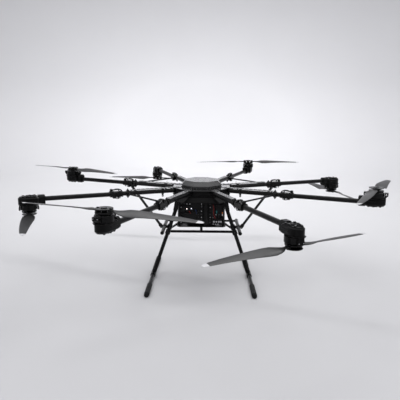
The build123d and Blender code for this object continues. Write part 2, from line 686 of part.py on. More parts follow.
def gear_tubes():
    """Side rails, the cross tubes that join them and the legs, their clamps and the centre post."""
    pieces = []
    front, rear = RAIL_ENDS
    reach = leg_x(CROSS_Z) - LEG_R - 4
    pieces.append(tube(7, TUBE_WALL, (-reach, 0, CROSS_Z), (reach, 0, CROSS_Z)))
    pieces.append(block_cylinder(7, CROSS_Z + 7.2, -0.1))
    inner = RAIL_X - RAIL_R - 0.1
    pieces.append(tube(6, TUBE_WALL, (-inner, rear - 10, RAIL_Z), (inner, rear - 10, RAIL_Z)))
    for side, strutted in ((-1, 3), (1, 6)):
        x = side * RAIL_X
        pieces.append(tube(RAIL_R, TUBE_WALL, (x, front, RAIL_Z), (x, rear, RAIL_Z)))
        for end, outward in ((front, -1), (rear, 1)):
            cap = rod(RAIL_R + 0.8, (x, end, RAIL_Z), (x, end + outward * 5, RAIL_Z))
            pieces.append(fillet(cap.edges().filter_by(GeomType.CIRCLE), 1.5))
        leg_low, leg_high = RAIL_Z - 12, RAIL_Z + 10
        clamp = rod(RAIL_R + 3, (x, -9, RAIL_Z), (x, 22, RAIL_Z))
        clamp += rod(LEG_R + 3.5, (side * leg_x(leg_low), 0, leg_low), (side * leg_x(leg_high), 0, leg_high))
        clamp += block(sorted((side * 176, side * 196)), (-6, 6), (RAIL_Z - 7, RAIL_Z + 7))
        foot, top = strut_ends(strutted, side)
        along = (Vector(*top) - Vector(*foot)).normalized()
        foot = Vector(*foot)
        clamp += rod(STRUT_TUBE_R + 3, foot - along * 6, foot + along * 14)
        clamp -= rod(STRUT_TUBE_R + SLIP, foot, foot + along * 40)
        clamp -= rod(RAIL_R + SLIP, (x, -40, RAIL_Z), (x, 40, RAIL_Z))
        lean = rod(LEG_R + SLIP, (side * leg_x(60), 0, 60), (side * leg_x(-100), 0, -100))
        pieces.append(clamp - lean)
        knee = rod(LEG_R + 4, (side * leg_x(CROSS_Z - 14), 0, CROSS_Z - 14),
                   (side * leg_x(CROSS_Z + 8), 0, CROSS_Z + 8))
        pieces.append(knee - lean)
        outline = [(104, -0.1), (125, -0.1), (clamp_x(-22), -22), (clamp_x(-34), -34), (118, -8), (104, -8)]
        hanger = side_profile([(side * x, z) for x, z in outline], 9)
        pieces.append(hanger)
    return pieces


def brace_rods():
    """Tie rods between neighbouring arms and the diagonal struts down to the rails."""
    pieces = []
    reach = TUBE_R + 17
    for first in (1, 3, 5, 7):
        near = arm_point(first, ROD_CLAMP_R[first], -reach)
        far = arm_point(first + 1, ROD_CLAMP_R[first + 1], reach)
        pieces.append(rod(4, (*near, ARM_Z), (*far, ARM_Z)))
    for number, side in ((3, -1), (6, 1)):
        foot, top = strut_ends(number, side)
        pieces.append(tube(STRUT_TUBE_R, TUBE_WALL, foot, top))
    return pieces


# ---- write every sub-part ------------------------------------------------------------------
as_node("dome_cover", dome_cover())
as_node("top_plate", top_plate())
as_node("frame_plates", frame_plates())
as_node("skirt", [skirt(), hub_wall()])
as_node("arm_sockets", [on_arm(number, arm_socket()) for number in ARMS])
as_node("inner_arms", [
    on_arm(number, tube(TUBE_R, TUBE_WALL, (SOCKET_X[0], 0, 0), (HINGE_R - 4, 0, 0))) for number in ARMS
])
as_node("ladder_strips", [on_arm(number, ladder_strip()) for number in ARMS])
socket_pieces = [fold_socket()] + joint_bolts(HINGE_R - JOINT_LENGTH / 2 - 0.125)
as_node("fold_sockets", [on_arm(number, piece) for number in ARMS for piece in socket_pieces])
as_node("hinge_pins", [on_arm(number, hinge_pin()) for number in ARMS])
clamps = [on_arm(number, rod_clamp(ROD_CLAMP_R[number], [-1] if number % 2 else [1])) for number in ARMS]
clamps += [on_arm(number, strut_lug()) for number in (3, 6)]
clamps += [on_arm(number, arm_collar()) for number in (2, 3, 6, 7)]
as_node("arm_clamps", clamps)
as_node("brace_rods", brace_rods())
as_node("box_frame", box_frame())
as_node("electronics", electronics())
as_node("payload_tray", payload_tray())
as_node("battery", battery())
as_node("power_button", power_button())
as_node("landing_legs", landing_legs())
as_node("skid_bars", skid_bars())
as_node("skid_sleeves", skid_sleeves())
as_node("gear_tubes", gear_tubes())

for number in ARMS:
    as_node(f"outer_arm_{number}", outer_arm(number))
    pod = [pod_housing(), pod_lid(), motor_mount(number), stator()]
    as_node(f"motor_pod_{number}", [at_motor(number, piece) for piece in pod])
    as_node(f"rotor_{number}", [at_rotor(number, piece) for piece in (motor_bell(), prop_hub())])
    as_node(f"blade_{number}_a", placed_blade(number, 0))
    as_node(f"blade_{number}_b", placed_blade(number, 180))
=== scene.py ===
import json
import math
import random

import bmesh
import bpy
from mathutils import Matrix, Vector


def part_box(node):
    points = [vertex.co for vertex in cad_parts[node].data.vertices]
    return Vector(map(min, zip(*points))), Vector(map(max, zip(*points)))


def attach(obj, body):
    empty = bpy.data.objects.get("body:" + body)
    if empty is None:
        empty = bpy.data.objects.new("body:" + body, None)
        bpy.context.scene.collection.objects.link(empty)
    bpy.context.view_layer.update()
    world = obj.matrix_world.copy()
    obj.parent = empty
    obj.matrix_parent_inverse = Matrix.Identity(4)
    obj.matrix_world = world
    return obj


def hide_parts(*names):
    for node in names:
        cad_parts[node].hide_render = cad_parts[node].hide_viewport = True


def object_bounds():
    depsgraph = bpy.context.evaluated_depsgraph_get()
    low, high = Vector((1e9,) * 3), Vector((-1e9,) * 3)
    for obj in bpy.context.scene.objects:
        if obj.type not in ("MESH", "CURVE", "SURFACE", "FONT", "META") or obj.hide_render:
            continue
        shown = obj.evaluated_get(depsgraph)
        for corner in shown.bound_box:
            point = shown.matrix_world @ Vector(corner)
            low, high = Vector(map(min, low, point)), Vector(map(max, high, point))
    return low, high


# Looks of the folding octocopter, in the CAD frame: metres, +Z up, -Y is the front of the aircraft.
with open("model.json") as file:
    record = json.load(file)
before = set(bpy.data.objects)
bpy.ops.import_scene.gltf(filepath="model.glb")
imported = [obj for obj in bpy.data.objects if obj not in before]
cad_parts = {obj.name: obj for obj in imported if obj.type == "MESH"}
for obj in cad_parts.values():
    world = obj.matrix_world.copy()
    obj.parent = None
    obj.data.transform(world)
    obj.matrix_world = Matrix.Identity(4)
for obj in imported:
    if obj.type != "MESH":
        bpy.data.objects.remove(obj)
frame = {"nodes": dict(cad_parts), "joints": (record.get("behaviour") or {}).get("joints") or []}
NODES = frame["nodes"]
JOINTS = {joint["name"]: joint for joint in frame["joints"]}
CAD_LOW, CAD_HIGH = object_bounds()
ARMS = range(1, 9)
MM = 0.001
random.seed(11)


# ---- places read from the frame ----------------------------------------------------------------
def joint_place(name):
    return Vector(JOINTS[name]["pos_m"])


def rotor_place(number):
    """Where the motor axis crosses the arm tube's axis."""
    return joint_place(f"rotor_{number}_spin")


def is_inverted(number):
    """Even arms hang their motor below the arm."""
    return number % 2 == 0


ARM_Z = rotor_place(1).z
MOTOR_CIRCLE_R = rotor_place(1).xy.length
FLOOR_Z = CAD_LOW.z
TUBE_R = 11 * MM


def arm_turn(number):
    """Rotation that carries +X onto an arm."""
    place = rotor_place(number)
    return Matrix.Rotation(math.atan2(place.y, place.x), 4, "Z")


def on_arm(number):
    """Matrix of an arm's own axes: +X outward along the tube, Z counted from its axis."""
    return arm_turn(number) @ Matrix.Translation((0, 0, ARM_Z))


def at_motor(number):
    """Matrix of a motor's own axes: +X outward, +Z towards the propeller."""
    flip = Matrix.Rotation(math.pi if is_inverted(number) else 0, 4, "X")
    return on_arm(number) @ Matrix.Translation((MOTOR_CIRCLE_R, 0, 0)) @ flip


# ---- material helpers --------------------------------------------------------------------------
class Paint:
    """A material under construction: makes nodes and joins them to its Principled shader."""

    def __init__(self, name):
        self.material = bpy.data.materials.new(name)
        self.material.use_nodes = True
        self.tree = self.material.node_tree
        self.shader = self.tree.nodes["Principled BSDF"]
        self.place = self.node("ShaderNodeTexCoord").outputs["Object"]

    def node(self, kind, **settings):
        made = self.tree.nodes.new(kind)
        for key, value in settings.items():
            setattr(made, key, value)
        return made

    def feed(self, socket, value):
        """Give a socket a constant or the output of another node."""
        if isinstance(value, bpy.types.NodeSocket):
            self.tree.links.new(value, socket)
        else:
            socket.default_value = value

    def maths(self, operation, *values):
        made = self.node("ShaderNodeMath", operation=operation)
        for socket, value in zip(made.inputs, values):
            self.feed(socket, value)
        return made.outputs[0]

    def vector_maths(self, operation, *values):
        made = self.node("ShaderNodeVectorMath", operation=operation)
        for socket, value in zip(made.inputs, values):
            self.feed(socket, value)
        return made.outputs["Value" if operation in ("LENGTH", "DISTANCE") else "Vector"]

    def noise(self, scale, detail=3.0, place=None):
        made = self.node("ShaderNodeTexNoise")
        made.inputs["Scale"].default_value = scale
        made.inputs["Detail"].default_value = detail
        self.feed(made.inputs["Vector"], place or self.place)
        return made.outputs["Fac"]

    def stretch(self, value, low, high):
        """Map 0..1 onto a range, held at its ends."""
        made = self.node("ShaderNodeMapRange")
        self.feed(made.inputs["Value"], value)
        made.inputs["To Min"].default_value = low
        made.inputs["To Max"].default_value = high
        return made.outputs[0]

    def between(self, value, start, end):
        """0 before start, 1 after end."""
        made = self.node("ShaderNodeMapRange")
        self.feed(made.inputs["Value"], value)
        made.inputs["From Min"].default_value = start
        made.inputs["From Max"].default_value = end
        return made.outputs[0]

    def blend(self, factor, first, second):
        """Mix two colours."""
        made = self.node("ShaderNodeMix", data_type="RGBA")
        self.feed(made.inputs["Factor"], factor)
        self.feed(made.inputs["A"], first)
        self.feed(made.inputs["B"], second)
        return made.outputs["Result"]

    def split(self, vector):
        made = self.node("ShaderNodeSeparateXYZ")
        self.feed(made.inputs[0], vector)
        return made.outputs

    def join(self, x, y, z):
        made = self.node("ShaderNodeCombineXYZ")
        for socket, value in zip(made.inputs, (x, y, z)):
            self.feed(socket, value)
        return made.outputs[0]

    def set(self, **values):
        """Set shader inputs by name, spaces written as underscores."""
        for key, value in values.items():
            self.feed(self.shader.inputs[key.replace("_", " ")], value)
        return self

    def bump(self, height, depth, strength=1.0):
        made = self.node("ShaderNodeBump")
        made.inputs["Strength"].default_value = strength
        made.inputs["Distance"].default_value = depth
        self.feed(made.inputs["Height"], height)
        self.feed(self.shader.inputs["Normal"], made.outputs[0])
        return self


def grey(value, alpha=1.0):
    return (value, value, value * 1.03, alpha)


def colour(red, green, blue):
    return (red, green, blue, 1.0)


# ---- materials ---------------------------------------------------------------------------------
WEAVE_PITCH = 2.0 * MM


def twill(paint, place):
    """0 or 1 by thread of a 2/2 twill, drawn on the first two coordinates of place."""
    cells = paint.vector_maths("FLOOR", place)
    x, y, z = paint.split(cells)
    total = paint.maths("ADD", paint.maths("ADD", x, y), z)
    turn = paint.maths("FLOORED_MODULO", total, 4.0)
    return paint.maths("LESS_THAN", turn, 2.0)


def scaled(paint, place, factor):
    made = paint.node("ShaderNodeVectorMath", operation="SCALE")
    paint.feed(made.inputs[0], place)
    made.inputs["Scale"].default_value = factor
    return made.outputs["Vector"]


def carbon(name, place_of=None, roughness=(0.20, 0.32), tones=(0.0015, 0.0040), gloss=0.16, coat=0.0):
    """Clear-coated carbon cloth: two thread tones, a faint ridge to each thread and handling marks."""
    paint = Paint(name)
    place = place_of(paint) if place_of else paint.place
    thread = twill(paint, scaled(paint, place, 1 / WEAVE_PITCH))
    smudge = paint.noise(14.0)
    tone = paint.blend(thread, grey(tones[0]), grey(tones[1]))
    tone = paint.blend(paint.stretch(smudge, 0.0, 0.25), tone, grey(0.008))
    rough = paint.maths("ADD", paint.maths("MULTIPLY", thread, 0.06), paint.stretch(smudge, *roughness))
    paint.set(Base_Color=tone, Roughness=rough, Specular_IOR_Level=gloss)
    paint.set(Coat_Weight=coat, Coat_Roughness=0.1)
    paint.bump(paint.maths("MULTIPLY", thread, 0.5), 0.05 * MM, 0.4)
    return paint.material


def along_arm(paint):
    """Distance from the hub axis and distance round the tube, for any of the eight arms."""
    x, y, z = paint.split(paint.place)
    sector = math.radians(45)
    heading = paint.maths("ARCTAN2", y, x)
    off = paint.maths("SUBTRACT", paint.maths("FLOORED_MODULO", heading, sector), sector / 2)
    squares = paint.maths("ADD", paint.maths("MULTIPLY", x, x), paint.maths("MULTIPLY", y, y))
    radius = paint.maths("SQRT", squares)
    side = paint.maths("MULTIPLY", radius, off)
    height = paint.maths("SUBTRACT", z, ARM_Z)
    around = paint.maths("MULTIPLY", paint.maths("ARCTAN2", height, side), TUBE_R)
    return paint.join(radius, around, 0.0)


def moulded(name, tone, roughness, grain=900.0, depth=0.04, metallic=0.0, coat=0.0, gloss=0.12):
    """Moulded or anodised skin: fine grain, slight tone changes and dust that dulls it in places."""
    paint = Paint(name)
    fine = paint.noise(grain, 2.0)
    broad = paint.noise(22.0, 4.0)
    base = paint.blend(paint.stretch(broad, 0.0, 1.0), grey(tone * 0.8), grey(tone * 1.35))
    rough = paint.maths("ADD", paint.stretch(broad, roughness - 0.06, roughness + 0.08),
                        paint.stretch(fine, -0.03, 0.03))
    paint.set(Base_Color=base, Roughness=rough, Metallic=metallic, Specular_IOR_Level=gloss)
    paint.set(Coat_Weight=coat, Coat_Roughness=0.2)
    paint.bump(fine, depth * MM, 0.35)
    return paint.material


def blade_skin(number):
    """Satin carbon-nylon blade with a light tip, and painted shade that darkens its colour towards the hub.
    """
    paint = Paint(f"blade_skin_{number}")
    hub = rotor_place(number)
    centre = (hub.x, hub.y, 0.0)
    x, y, z = paint.split(paint.place)
    flat = paint.join(x, y, 0.0)
    reach = paint.vector_maths("DISTANCE", flat, centre)
    streak = paint.noise(60.0, 5.0)
    # painted shade: the colour darkens from 150 mm in to 60 mm from the hub
    root = paint.between(reach, 150 * MM, 60 * MM)
    tone = paint.blend(streak, grey(0.012), grey(0.026))
    tone = paint.blend(root, tone, grey(0.005))
    tip = paint.between(reach, TIP_START - 0.4 * MM, TIP_START + 0.4 * MM)
    tone = paint.blend(tip, tone, grey(0.52))
    rough = paint.stretch(paint.noise(35.0), 0.30, 0.42)
    paint.set(Base_Color=tone, Roughness=rough, Specular_IOR_Level=0.3)
    paint.bump(paint.noise(700.0, 2.0), 0.03 * MM, 0.3)
    return paint.material


def bare_metal(name, tone, roughness):
    """Turned or plated metal with fine scratches."""
    paint = Paint(name)
    scratch = paint.noise(400.0, 4.0)
    base = paint.blend(scratch, grey(tone * 0.8), grey(tone))
    rough = paint.stretch(paint.noise(60.0), roughness - 0.08, roughness + 0.1)
    paint.set(Base_Color=base, Roughness=rough, Metallic=1.0)
    paint.bump(scratch, 0.02 * MM, 0.25)
    return paint.material


def rubber_skin():
    """Matte foam rubber with a coarse grain."""
    paint = Paint("rubber_skin")
    grain = paint.noise(600.0, 3.0)
    tone = paint.blend(paint.noise(30.0), grey(0.006), grey(0.014))
    rough = paint.stretch(grain, 0.62, 0.82)
    paint.set(Base_Color=tone, Roughness=rough, Specular_IOR_Level=0.2)
    paint.bump(grain, 0.08 * MM, 0.5)
    return paint.material


def board_skin():
    """Black solder mask with finer copper runs showing through."""
    paint = Paint("board_skin")
    runs = paint.node("ShaderNodeTexBrick")
    runs.inputs["Scale"].default_value = 90.0
    runs.inputs["Mortar Size"].default_value = 0.03
    runs.inputs["Color1"].default_value = grey(0.002)
    runs.inputs["Color2"].default_value = grey(0.004)
    runs.inputs["Mortar"].default_value = grey(0.016)
    x, y, z = paint.split(paint.place)
    paint.feed(runs.inputs["Vector"], paint.join(x, z, y))
    rough = paint.stretch(paint.noise(80.0), 0.3, 0.45)
    paint.set(Base_Color=runs.outputs["Color"], Roughness=rough, Specular_IOR_Level=0.12)
    paint.bump(runs.outputs["Fac"], 0.04 * MM, 0.3)
    return paint.material


def tinted(name, tone, roughness=0.4):
    """A small coloured plastic or painted piece with a little mottling."""
    paint = Paint(name)
    mottle = paint.noise(300.0)
    dark = tuple(value * 0.75 for value in tone[:3]) + (1.0,)
    paint.set(Base_Color=paint.blend(mottle, dark, tone))
    paint.set(Roughness=paint.stretch(mottle, roughness, roughness + 0.1))
    return paint.material


def lamp(name, tone, strength):
    """A lit lens of a small indicator."""
    paint = Paint(name)
    glow = paint.blend(paint.noise(500.0), tone, grey(1.0))
    paint.set(Base_Color=glow, Emission_Color=glow, Emission_Strength=strength, Roughness=0.3)
    return paint.material


TIP_START = 345 * MM
TUBE_SKIN = carbon("tube_skin", along_arm)
GEAR_SKIN = carbon("gear_skin")
PLATE_SKIN = carbon("plate_skin", roughness=(0.22, 0.34), gloss=0.10, coat=0.0)
TOP_SKIN = carbon("top_skin", roughness=(0.08, 0.14), tones=(0.006, 0.014), gloss=0.6, coat=1.0)
COVER_SKIN = moulded("cover_skin", 0.014, 0.26, coat=0.7, gloss=0.4)
SKIRT_SKIN = moulded("skirt_skin", 0.003, 0.34, gloss=0.08)
ALLOY_SKIN = moulded("alloy_skin", 0.002, 0.26, gloss=0.16)
POD_SKIN = moulded("pod_skin", 0.0022, 0.30, gloss=0.12)
MOTOR_SKIN = moulded("motor_skin", 0.002, 0.22, gloss=0.16)
BATTERY_SKIN = moulded("battery_skin", 0.005, 0.5)
BUTTON_SKIN = bare_metal("button_skin", 0.45, 0.3)
STEEL_SKIN = bare_metal("steel_skin", 0.62, 0.28)
RUBBER_SKIN = rubber_skin()
BOARD_SKIN = board_skin()
BLADE_SKINS = {number: blade_skin(number) for number in ARMS}

NODE_SKINS = {
    "dome_cover": COVER_SKIN, "top_plate": TOP_SKIN, "frame_plates": PLATE_SKIN, "skirt": SKIRT_SKIN,
    "arm_sockets": ALLOY_SKIN, "inner_arms": TUBE_SKIN, "ladder_strips": TOP_SKIN,
    "fold_sockets": ALLOY_SKIN, "hinge_pins": STEEL_SKIN, "arm_clamps": ALLOY_SKIN,
    "brace_rods": GEAR_SKIN, "box_frame": PLATE_SKIN, "electronics": BOARD_SKIN,
    "payload_tray": PLATE_SKIN, "battery": BATTERY_SKIN, "power_button": BUTTON_SKIN,
    "landing_legs": GEAR_SKIN, "skid_bars": GEAR_SKIN, "skid_sleeves": RUBBER_SKIN, "gear_tubes": GEAR_SKIN,
}
for number in ARMS:
    NODE_SKINS[f"outer_arm_{number}"] = TUBE_SKIN
    NODE_SKINS[f"motor_pod_{number}"] = POD_SKIN
    NODE_SKINS[f"rotor_{number}"] = MOTOR_SKIN

for name, skin in NODE_SKINS.items():
    mesh = NODES[name].data
    mesh.materials.clear()
    mesh.materials.append(skin)


# ---- small pieces: how they are made -----------------------------------------------------------
def shift(x, y, z):
    """Matrix that moves by millimetres."""
    return Matrix.Translation((x * MM, y * MM, z * MM))


def tip_over(degrees, axis):
    """Matrix that turns by degrees about an axis."""
    return Matrix.Rotation(math.radians(degrees), 4, axis)


def lathe(mesh, place, profile, sides=24, ring=False):
    """Add a turned shape to a mesh. The profile is (radius, height) in millimetres from base to top,
    or a closed section when ring is set."""
    loops = []
    for radius, height in profile:
        loop = []
        for index in range(sides):
            turn = 2 * math.pi * (index + 0.5) / sides
            point = Vector((radius * math.cos(turn), radius * math.sin(turn), height)) * MM
            loop.append(mesh.verts.new(place @ point))
        loops.append(loop)
    follows = loops[1:] + loops[:1] if ring else loops[1:]
    for low, high in zip(loops, follows):
        for index in range(sides):
            other = (index + 1) % sides
            mesh.faces.new((low[index], low[other], high[other], high[index]))
    if not ring:
        mesh.faces.new(loops[0][::-1])
        mesh.faces.new(loops[-1])


def slab(mesh, place, size, edge=0.4):
    """Add a box with chamfered edges, centred on its place. Sizes are in millimetres."""
    scale = Matrix.Diagonal((size[0] * MM, size[1] * MM, size[2] * MM, 1.0))
    corners = bmesh.ops.create_cube(mesh, size=1.0, matrix=place @ scale)["verts"]
    edges = {line for corner in corners for line in corner.link_edges}
    bmesh.ops.bevel(mesh, geom=list(edges), offset=edge * MM, segments=1, affect="EDGES")


def screw(mesh, place, radius, height):
    """Add a cap screw head with a round socket in its top, standing on its place along +Z."""
    rim = [(radius, 0), (radius, height * 0.8), (radius * 0.86, height), (radius * 0.55, height)]
    lathe(mesh, place, rim + [(radius * 0.5, height * 0.35), (radius * 0.1, height * 0.3)], sides=18)


def finished(name, mesh, skin, body="root"):
    """Make the object of a mesh, give it its skin and let it ride on a body."""
    data = bpy.data.meshes.new(name)
    mesh.to_mesh(data)
    mesh.free()
    made = bpy.data.objects.new(name, data)
    bpy.context.scene.collection.objects.link(made)
    data.materials.append(skin)
    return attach(made, body)


def wire(name, points, thickness, skin, body="root", place=Matrix.Identity(4)):
    """A round wire through points given in millimetres."""
    data = bpy.data.curves.new(name, "CURVE")
    data.dimensions = "3D"
    data.bevel_depth = thickness / 2 * MM
    data.bevel_resolution = 3
    data.use_fill_caps = True
    spline = data.splines.new("BEZIER")
    spline.bezier_points.add(len(points) - 1)
    for knot, point in zip(spline.bezier_points, points):
        knot.co = place @ (Vector(point) * MM)
        knot.handle_left_type = knot.handle_right_type = "AUTO"
    data.materials.append(skin)
    made = bpy.data.objects.new(name, data)
    bpy.context.scene.collection.objects.link(made)
    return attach(made, body)


COPPER_SKIN = bare_metal("copper_skin", 0.3, 0.35)
DARK_METAL_SKIN = bare_metal("dark_metal_skin", 0.06, 0.25)
GASKET_SKIN = moulded("gasket_skin", 0.003, 0.6)
RED_SKIN = tinted("red_skin", colour(0.35, 0.012, 0.010))
BLUE_SKIN = tinted("blue_skin", colour(0.010, 0.05, 0.22))
BLACK_WIRE_SKIN = tinted("black_wire_skin", colour(0.010, 0.010, 0.011))
TEAL_SKIN = tinted("teal_skin", colour(0.02, 0.30, 0.32))
ORANGE_SKIN = tinted("orange_skin", colour(0.60, 0.16, 0.02))
PALE_SKIN = tinted("pale_skin", colour(0.60, 0.60, 0.58))
CHIP_SKIN = tinted("chip_skin", colour(0.012, 0.012, 0.013), 0.3)
WHITE_LAMP = lamp("white_lamp", colour(1.0, 0.98, 0.92), 3.0)
BLUE_LAMP = lamp("blue_lamp", colour(0.55, 0.75, 1.0), 2.0)


# ---- small pieces: hub -------------------------------------------------------------------------
PLATE_TOP = (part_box("top_plate")[1].z - ARM_Z) / MM
SOCKET_SCREWS = [(x, y) for x in (108, 136) for y in (-14.5, 14.5)]


def hub_screws():
    """The cap screws that hold the top plate to the arm sockets."""
    mesh = bmesh.new()
    for number in ARMS:
        for x, y in SOCKET_SCREWS:
            screw(mesh, on_arm(number) @ shift(x, y, PLATE_TOP), 2.8, 2.4)
    finished("hub_screws", mesh, DARK_METAL_SKIN)


def cover_gasket():
    """The dark seal round the foot of the cover."""
    low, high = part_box("dome_cover")
    reach = (high.x - low.x) / 2 / MM / math.cos(math.radians(22.5))
    section = [(reach + 0.1, 0), (reach + 1.8, 0), (reach + 1.4, 1.4), (reach + 0.1, 1.4)]
    mesh = bmesh.new()
    lathe(mesh, shift(0, 0, low.z / MM), section, sides=8, ring=True)
    finished("cover_gasket", mesh, GASKET_SKIN)


def arm_hooks():
    """The small wire loops that hold the cables above the roots of the side arms."""
    loop = [(205, -4, 17), (205, -6, 24), (205, 0, 29), (205, 6, 24), (205, 4, 17)]
    for number in (3, 6):
        wire(f"arm_hook_{number}", loop, 1.4, STEEL_SKIN, place=on_arm(number))


# ---- small pieces: motors and pods -------------------------------------------------------------
LID_BOSSES = [(x, sign * y) for x, y in ((-27, 18), (-6, 18.5), (22, 12.5)) for sign in (-1, 1)]
LID_FACE = -17.5            # floor of the screw recesses, from the arm axis
EARS = {False: 51.0, True: 43.0}    # reach of the ears of upright and inverted motor mounts
HUB_TOP = 68.3              # top face of a propeller hub, from the arm axis


def pod_screws(number):
    """The screws of a pod's lid, in the recesses of its bosses."""
    mesh = bmesh.new()
    for x, y in LID_BOSSES:
        screw(mesh, at_motor(number) @ shift(x, y, LID_FACE) @ tip_over(180, "X"), 2.1, 1.6)
    finished(f"pod_screws_{number}", mesh, STEEL_SKIN, f"arm_{number}")


def windings(number):
    """Copper coils in the slots of the motor's core."""
    mesh = bmesh.new()
    teeth = 12
    for index in range(teeth):
        place = at_motor(number) @ tip_over(index * 360 / teeth, "Z") @ shift(27, 0, 34)
        slab(mesh, place, (4.0, 4.6, 12.0), 1.0)
    finished(f"windings_{number}", mesh, COPPER_SKIN, f"arm_{number}")


def hub_washer(number):
    """The bright washer round the centre cap of a propeller hub."""
    low, high = HUB_TOP, HUB_TOP + 0.7
    section = [(10.2, low), (14.5, low), (14.2, high), (10.2, high)]
    mesh = bmesh.new()
    lathe(mesh, at_motor(number), section, sides=32, ring=True)
    finished(f"hub_washer_{number}", mesh, DARK_METAL_SKIN, f"rotor_{number}")


def ear_screws(number):
    """Two small screws in the outer face of each ear of the motor mount."""
    mesh = bmesh.new()
    reach = EARS[is_inverted(number)]
    for sign in (-1, 1):
        for y in (-9, 9):
            face = tip_over(sign * 90, "Y")
            screw(mesh, at_motor(number) @ shift(sign * reach, y, 40) @ face, 1.7, 1.2)
    finished(f"ear_screws_{number}", mesh, STEEL_SKIN, f"arm_{number}")


# ---- blades, drawn again with smooth edges -----------------------------------------------------
# radius, leading edge ahead of the pin line, trailing edge behind it, thickness, all in millimetres
BLADE_STATIONS = (
    (34, 9, 9, 6.6), (44, 9.5, 9.5, 6.6), (54, 13.5, 19, 6.6), (64, 17, 26, 6.2), (76, 19, 29.5, 5.8),
    (95, 20.5, 30.3, 5.3), (125, 21.8, 28.5, 4.8), (170, 22, 25, 4.1), (230, 20, 20.8, 3.4),
    (290, 16, 17.2, 2.8), (335, 11, 14.8, 2.3), (352, 7.5, 13, 2.0), (362, 4, 11, 1.7),
    (367.5, 0, 8.5, 1.3))
BLADE_ADVANCE = 250.0       # per turn
BLADE_DROOP = 5.0
BLADE_REACH = 368.0
FLAT_ROOT_END = 56.0        # the root has no twist this far out, so that it folds between the hub discs
TWIST_EASE = 45.0           # length over which the twist comes in
ROOT_TWIST = 20.0           # degrees
SECTION_POINTS = 20


def blade_section(radius, lead, trail, thickness):
    """Points round a blade's section at a radius, twisted and dropped as the CAD blade is."""
    ease = min(1.0, max(0.0, (radius - FLAT_ROOT_END) / TWIST_EASE))
    helix = math.degrees(math.atan(BLADE_ADVANCE / (2 * math.pi * radius)))
    twist = math.radians(ease * min(ROOT_TWIST, helix))
    lift = -BLADE_DROOP * (radius / BLADE_REACH) ** 2
    points = []
    for index in range(SECTION_POINTS):
        turn = 2 * math.pi * index / SECTION_POINTS
        along = (lead - trail) / 2 + (lead + trail) / 2 * math.cos(turn)
        up = thickness / 2 * math.sin(turn)
        y = along * math.cos(twist) - up * math.sin(twist)
        z = lift + along * math.sin(twist) + up * math.cos(twist)
        points.append(Vector((radius, y, z)) * MM)
    return points


def smooth_blade(number, letter):
    """A blade and its root ring, in the place of the CAD blade that it replaces."""
    hub, pin = rotor_place(number), joint_place(f"blade_{number}_{letter}_fold")
    heading = math.atan2(pin.y - hub.y, pin.x - hub.x)
    mirror = Matrix.Diagonal((1, -1 if is_inverted(number) else 1, 1, 1))
    place = Matrix.Translation((hub.x, hub.y, pin.z)) @ Matrix.Rotation(heading, 4, "Z") @ mirror
    mesh = bmesh.new()
    loops = []
    for station in BLADE_STATIONS:
        loops.append([mesh.verts.new(place @ point) for point in blade_section(*station)])
    for inner, outer in zip(loops, loops[1:]):
        for index in range(SECTION_POINTS):
            other = (index + 1) % SECTION_POINTS
            mesh.faces.new((inner[index], inner[other], outer[other], outer[index]))
    mesh.faces.new(loops[0])
    mesh.faces.new(loops[-1])
    for face in mesh.faces:
        face.smooth = len(face.verts) == 4
    section = [(3.1, -3.6), (10.6, -3.6), (11, -3.2), (11, 3.2), (10.6, 3.6), (3.1, 3.6)]
    lathe(mesh, place @ shift((pin.xy - hub.xy).length / MM, 0, 0), section, sides=40, ring=True)
    bmesh.ops.recalc_face_normals(mesh, faces=mesh.faces)
    node = f"blade_{number}_{letter}"
    piece = finished(f"smooth_blade_{number}_{letter}", mesh, BLADE_SKINS[number], node)
    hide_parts(node)


# ---- small pieces: avionics --------------------------------------------------------------------
BOARD_FRONT = -83.0         # front face of the main board
FORWARD = tip_over(90, "X")     # turns +Z to face the front of the aircraft


def board_parts():
    """Chips and capacitors spread over the main board, clear of the modules in front of it."""
    chips = bmesh.new()
    cans = bmesh.new()
    spots = [(x, z) for x in range(-104, 106, 15) for z in (20, 34, 48, 62, 80, 100, 118)]
    for x, z in spots:
        width, height = random.uniform(4, 10), random.uniform(3, 8)
        if random.random() < 0.7:
            slab(chips, shift(x, BOARD_FRONT - 1.0, z), (width, 2.0, height), 0.3)
        else:
            can = [(2.6, 0), (2.6, 5.2), (2.2, 5.8), (1.8, 5.6)]
            lathe(cans, shift(x, BOARD_FRONT, z) @ FORWARD, can, sides=16)
    finished("board_chips", chips, CHIP_SKIN)
    finished("board_capacitors", cans, STEEL_SKIN)


def connectors():
    """Metal plug shells along the lower right module and the strips beside it."""
    shells = bmesh.new()
    round_shell = [(4.4, 0), (4.4, 4), (3.9, 4.6), (2.6, 4.6), (2.4, 1.5)]
    stud = [(1.5, 0), (1.5, 1.4), (1.1, 2.0)]
    for x in (65, 78, 91, 101):
        lathe(shells, shift(x, -103, 30) @ FORWARD, round_shell, sides=24)
    for x, z in ((62, 17), (74, 17), (86, 17)):
        slab(shells, shift(x, -104, z), (7.5, 3.0, 3.2), 0.5)
    for z in (100, 104.5, 109):
        lathe(shells, shift(2.5, BOARD_FRONT, z) @ FORWARD, stud, sides=16)
    finished("plug_shells", shells, STEEL_SKIN)
    strips = (
        ("teal_strip", 79, -99.6, 79, 3.0, 14.0, TEAL_SKIN),
        ("orange_strip", 108, -106, 76, 4.0, 9.0, ORANGE_SKIN),
        ("pale_strip", 108, -106, 66, 4.0, 9.0, PALE_SKIN),
    )
    for name, x, y, z, width, height, skin in strips:
        mesh = bmesh.new()
        slab(mesh, shift(x, y, z), (width, 1.6, height), 0.3)
        finished(name, mesh, skin)


